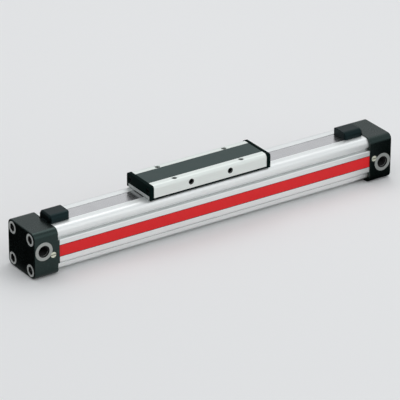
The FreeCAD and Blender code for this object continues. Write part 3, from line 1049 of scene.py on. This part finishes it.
@dataclass
class Carriage:
    """The flat-topped carriage with its plates, wipers and threaded holes.

    Args:
        frame: The loaded frame.
        finishes: Every finish.
        pitch: Pitch of the holes' threads.
        length: How long the threads are.
        depth: How high their ridge is.
        bevel: Size of the bevel at each mouth.
        plain: Height of the plain wall over the threads of the top holes.
    """

    frame: dict
    finishes: Finishes
    pitch: float = 0.8 * MM
    length: float = 4.8 * MM
    depth: float = 0.3 * MM
    bevel: float = 0.4 * MM
    plain: float = 1.3 * MM

    # An axis that climbs more steeply than this opens on top.
    STEEP = 0.5

    def build(self) -> None:
        """Dresses the carriage's nodes and cuts its threads."""
        surfaces = {
            "carriage_body": self.finishes.carriage,
            "carriage_cover": self.finishes.cover,
            "end_plate_left": self.finishes.plate,
            "end_plate_right": self.finishes.plate,
            "side_skirt_near": self.finishes.plate,
            "side_skirt_far": self.finishes.plate,
            "wiper_left": self.finishes.wiper,
            "wiper_right": self.finishes.wiper,
            "band_guide_left": self.finishes.bearing,
            "band_guide_right": self.finishes.bearing,
            "bearing_pads": self.finishes.bearing,
            "plate_screws": self.finishes.dark_screw,
        }
        dress(self.frame, surfaces)
        for mount in self.frame["record"]["mounts"]:
            if mount["name"].startswith("carriage_") and mount["kind"] == "bolt_pattern":
                self.thread_pattern(mount)

    def thread_pattern(self, mount: dict) -> None:
        """Cuts the threads of one hole pattern, coloured as painted shade: deeper on top, and with a
        painted-shade bevel elsewhere.

        Args:
            mount: The pattern as the record gives it.
        """
        dims, axis = mount["dims"], Vector(mount["axis"])
        radius = dims["hole_r_mm"] * MM
        half_x = dims["spacing_x_mm"] * MM / 2
        half_y = dims.get("spacing_y_mm", 0.0) * MM / 2
        on_top = axis.z > self.STEEP
        thread = Thread(radius, self.pitch, self.length, self.depth)
        shade_lining = ShadeLining(radius, radius + self.bevel, self.bevel)
        piece = Piece()
        for x in (-half_x, half_x):
            for y in sorted({-half_y, half_y}):
                seat = Vector(mount["pos_m"]) + Vector((x, y, 0.0)) - axis * self.bevel
                start = seat - axis * self.plain if on_top else seat
                thread.cut_into(piece, start, -axis)
                if not on_top:
                    shade_lining.lay(piece, seat, axis)
        name = f"{mount['name']}_threads"
        piece.thing(name, self.finishes.painted_shade_thread, "carriage")


@dataclass
class DriveTrain:
    """The yoke, the pistons and their rings, inside the barrel."""

    frame: dict
    finishes: Finishes

    def build(self) -> None:
        """Dresses what the air pushes."""
        surfaces = {
            "yoke": self.finishes.machined,
            "yoke_screws": self.finishes.dark_screw,
            "piston_left": self.finishes.machined,
            "piston_right": self.finishes.machined,
            "piston_bolts": self.finishes.dark_screw,
            "piston_seals": self.finishes.rubber,
            "piston_magnets": self.finishes.magnet,
            "guide_rings": self.finishes.bearing,
            "cushion_seals": self.finishes.rubber,
        }
        dress(self.frame, surfaces)


@dataclass(frozen=True)
class SoftBox:
    """One square area lamp.

    Args:
        name: The lamp's name.
        place: Where it stands.
        size: Its side, in metres.
        power: Its power, in watts.
    """

    name: str
    place: Place
    size: float
    power: float

    def build(self, aim: Vector) -> None:
        """Makes the lamp.

        Args:
            aim: What it points at.
        """
        lamp = bpy.data.lights.new(self.name, "AREA")
        lamp.size, lamp.energy = self.size, self.power
        stand = bpy.data.objects.new(self.name, lamp)
        stand.location = self.place
        stand.rotation_mode = "QUATERNION"
        stand.rotation_quaternion = (aim - Vector(self.place)).to_track_quat("-Z", "Y")
        bpy.context.scene.collection.objects.link(stand)


@dataclass
class Studio:
    """A pale floor with painted dark reflections past both caps, a soft world and two soft boxes.

    Args:
        floor_half: Half the floor's side.
        floor_level: Its height, just under the caps.
        floor_tone: Its colour.
        floor_light: The lighter colour of its clouds.
        cloud: Scale and detail of those clouds.
        painted_reflection_tone: Painted reflection: what glossy surfaces see in its dark parts.
        left_dark: Where on x the painted dark reflection on the left ends.
        right_dark: Where on the slanted line the painted dark reflection on the right starts.
        slant: How far that line turns with y.
        sky: The world's colour.
        across: The world brightens along x between these.
        above: It brightens upwards between these.
        front: It dims towards the front between these, to front_share.
        back: It dims towards the back between these, to back_share.
        levels: Its lowest and highest strength.
        lamps: The soft boxes.
        aim: What they point at.
    """

    floor_half: float = 6.0
    floor_level: float = -0.0002
    floor_tone: Colour = (0.87, 0.87, 0.87)
    floor_light: Colour = (0.90, 0.90, 0.90)
    cloud: Span = (3.0, 3.0)
    painted_reflection_tone: Colour = (0.006, 0.006, 0.006)
    left_dark: Span = (-0.180, -0.172)
    right_dark: Span = (0.131, 0.139)
    slant: float = 0.675
    sky: Colour = (0.96, 0.98, 1.0)
    across: Span = (-0.75, 0.35)
    above: Span = (0.05, 0.75)
    front: Span = (-0.15, -0.60)
    front_share: float = 0.95
    back: Span = (0.30, 0.70)
    back_share: float = 0.80
    levels: Span = (0.02, 0.82)
    lamps: tuple[SoftBox, ...] = (
        SoftBox("key light", (0.30, 0.45, 1.2), 0.9, 3.0),
        SoftBox("front light", (0.15, -1.2, 0.42), 1.3, 2.7),
    )
    aim: Place = (0.0, 0.0, 0.03)

    def floor_material(self) -> bpy.types.Material:
        """The floor's material.

        Returns:
            A matt pale finish with faint clouds, and painted dark reflections past both caps that only
            glossy surfaces see.
        """
        material = bpy.data.materials.new("pale floor")
        material.use_nodes = True
        material.node_tree.nodes.clear()
        graph = Graph(material.node_tree)
        scale, detail = self.cloud
        cloud = graph.put("ShaderNodeTexNoise", {"Scale": scale, "Detail": detail}).outputs[0]
        tone = graph.blend(cloud, opaque(self.floor_tone), opaque(self.floor_light))
        # Painted reflection: past both caps, glossy surfaces see the floor dark while the camera sees it
        # pale.
        along, off = graph.put("ShaderNodeSeparateXYZ", {0: graph.place()}).outputs[:2]
        left = graph.remap(along, self.left_dark, (1.0, 0.0))
        aslant = graph.maths("ADD", along, graph.maths("MULTIPLY", off, self.slant))
        right = graph.remap(aslant, self.right_dark)
        dark = graph.maths("MAXIMUM", left, right)
        mirrored = graph.put("ShaderNodeLightPath").outputs["Is Glossy Ray"]
        tone = graph.blend(graph.maths("MULTIPLY", dark, mirrored), tone, opaque(self.painted_reflection_tone))
        values = {"Base Color": tone, "Roughness": 0.9, "Specular IOR Level": 0.1}
        shader = graph.put("ShaderNodeBsdfPrincipled", values)
        graph.put("ShaderNodeOutputMaterial", {"Surface": shader.outputs[0]})
        return material

    def floor(self) -> None:
        """The floor that the caps stand on."""
        mesh = bpy.data.meshes.new("floor")
        signs = ((-1, -1), (1, -1), (1, 1), (-1, 1))
        corners = [(x * self.floor_half, y * self.floor_half, self.floor_level) for x, y in signs]
        mesh.from_pydata(corners, [], [(0, 1, 2, 3)])
        mesh.materials.append(self.floor_material())
        ground = bpy.data.objects.new("floor", mesh)
        bpy.context.scene.collection.objects.link(ground)

    def world(self) -> None:
        """Soft light from all round, least from the left."""
        world = bpy.data.worlds.new("studio world")
        bpy.context.scene.world = world
        world.use_nodes = True
        world.node_tree.nodes.clear()
        graph = Graph(world.node_tree)
        place = graph.put("ShaderNodeTexCoord").outputs["Generated"]
        x, y, z = graph.put("ShaderNodeSeparateXYZ", {0: place}).outputs
        share = graph.maths("MAXIMUM", graph.remap(x, self.across), graph.remap(z, self.above))
        front = graph.remap(y, self.front, (1.0, self.front_share))
        back = graph.remap(y, self.back, (1.0, self.back_share))
        share = graph.maths("MULTIPLY", graph.maths("MULTIPLY", share, front), back)
        level = graph.remap(share, UNIT, self.levels)
        glow = graph.put("ShaderNodeBackground", {"Color": opaque(self.sky), "Strength": level})
        graph.put("ShaderNodeOutputWorld", {"Surface": glow.outputs[0]})

    def build(self) -> None:
        """Sets up floor, world and lamps."""
        self.floor()
        self.world()
        for lamp in self.lamps:
            lamp.build(Vector(self.aim))
        LOG.info("studio is set")


@dataclass(frozen=True)
class PhotoCamera:
    """The photograph's camera, as it was fitted to the cylinder's corners.

    Args:
        azimuth: Its turn round the cylinder from the front, in degrees.
        elevation: Its height over the floor, in degrees.
        roll: Its tilt about its own axis, in degrees.
        distance: How far it stands from the aim.
        focal_px: Its focal length, in the photograph's pixels.
        aim: The point of the cylinder that it was fitted about.
        aim_px: Where that point lies in the photograph.
        frame_px: The photograph's width and height.
        sensor_mm: The sensor's width.
        clip: Nearest and furthest distance that it shows.
    """

    azimuth: float = -33.95
    elevation: float = 25.79
    roll: float = 0.298
    distance: float = 2.5938
    focal_px: float = 3168.0
    aim: Place = (0.005, 0.0, 0.0205)
    aim_px: Span = (210.13, 194.35)
    frame_px: float = 400.0
    sensor_mm: float = 36.0
    clip: Span = (0.05, 50.0)

    def build(self) -> None:
        """Makes the camera and sets it as the scene's."""
        turn, lift, roll = (math.radians(v) for v in (self.azimuth, self.elevation, self.roll))
        back = Vector((math.sin(turn) * math.cos(lift), -math.cos(turn) * math.cos(lift), math.sin(lift)))
        right = (-back).cross(Vector((0, 0, 1))).normalized()
        above = right.cross(-back)
        across = right * math.cos(roll) + above * math.sin(roll)
        upward = -right * math.sin(roll) + above * math.cos(roll)
        scale = self.distance / self.focal_px
        shift_x = (self.aim_px[0] - self.frame_px / 2) * scale
        shift_y = (self.frame_px / 2 - self.aim_px[1]) * scale
        place = Vector(self.aim) + back * self.distance - across * shift_x - upward * shift_y
        lens = bpy.data.cameras.new("photo camera")
        lens.sensor_width = self.sensor_mm
        lens.lens = self.focal_px / self.frame_px * self.sensor_mm
        lens.clip_start, lens.clip_end = self.clip
        camera = bpy.data.objects.new("photo camera", lens)
        axes = Matrix((across, upward, back)).transposed().to_4x4()
        camera.matrix_world = Matrix.Translation(place) @ axes
        bpy.context.scene.collection.objects.link(camera)
        bpy.context.scene.camera = camera
        LOG.info("camera is set")


def main() -> None:
    """Builds the cylinder's looks round the frame."""
    logging.basicConfig(level=logging.INFO, format="%(message)s")
    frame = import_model()
    finishes = Finishes()
    Barrel(frame, finishes).build()
    SealingBands(frame, finishes).build()
    for side in Side:
        EndCap(frame, finishes, side).build()
    Carriage(frame, finishes).build()
    DriveTrain(frame, finishes).build()
    Studio().build()
    PhotoCamera().build()
    bpy.context.scene.view_settings.view_transform = "Standard"


if __name__ == "__main__":
    main()
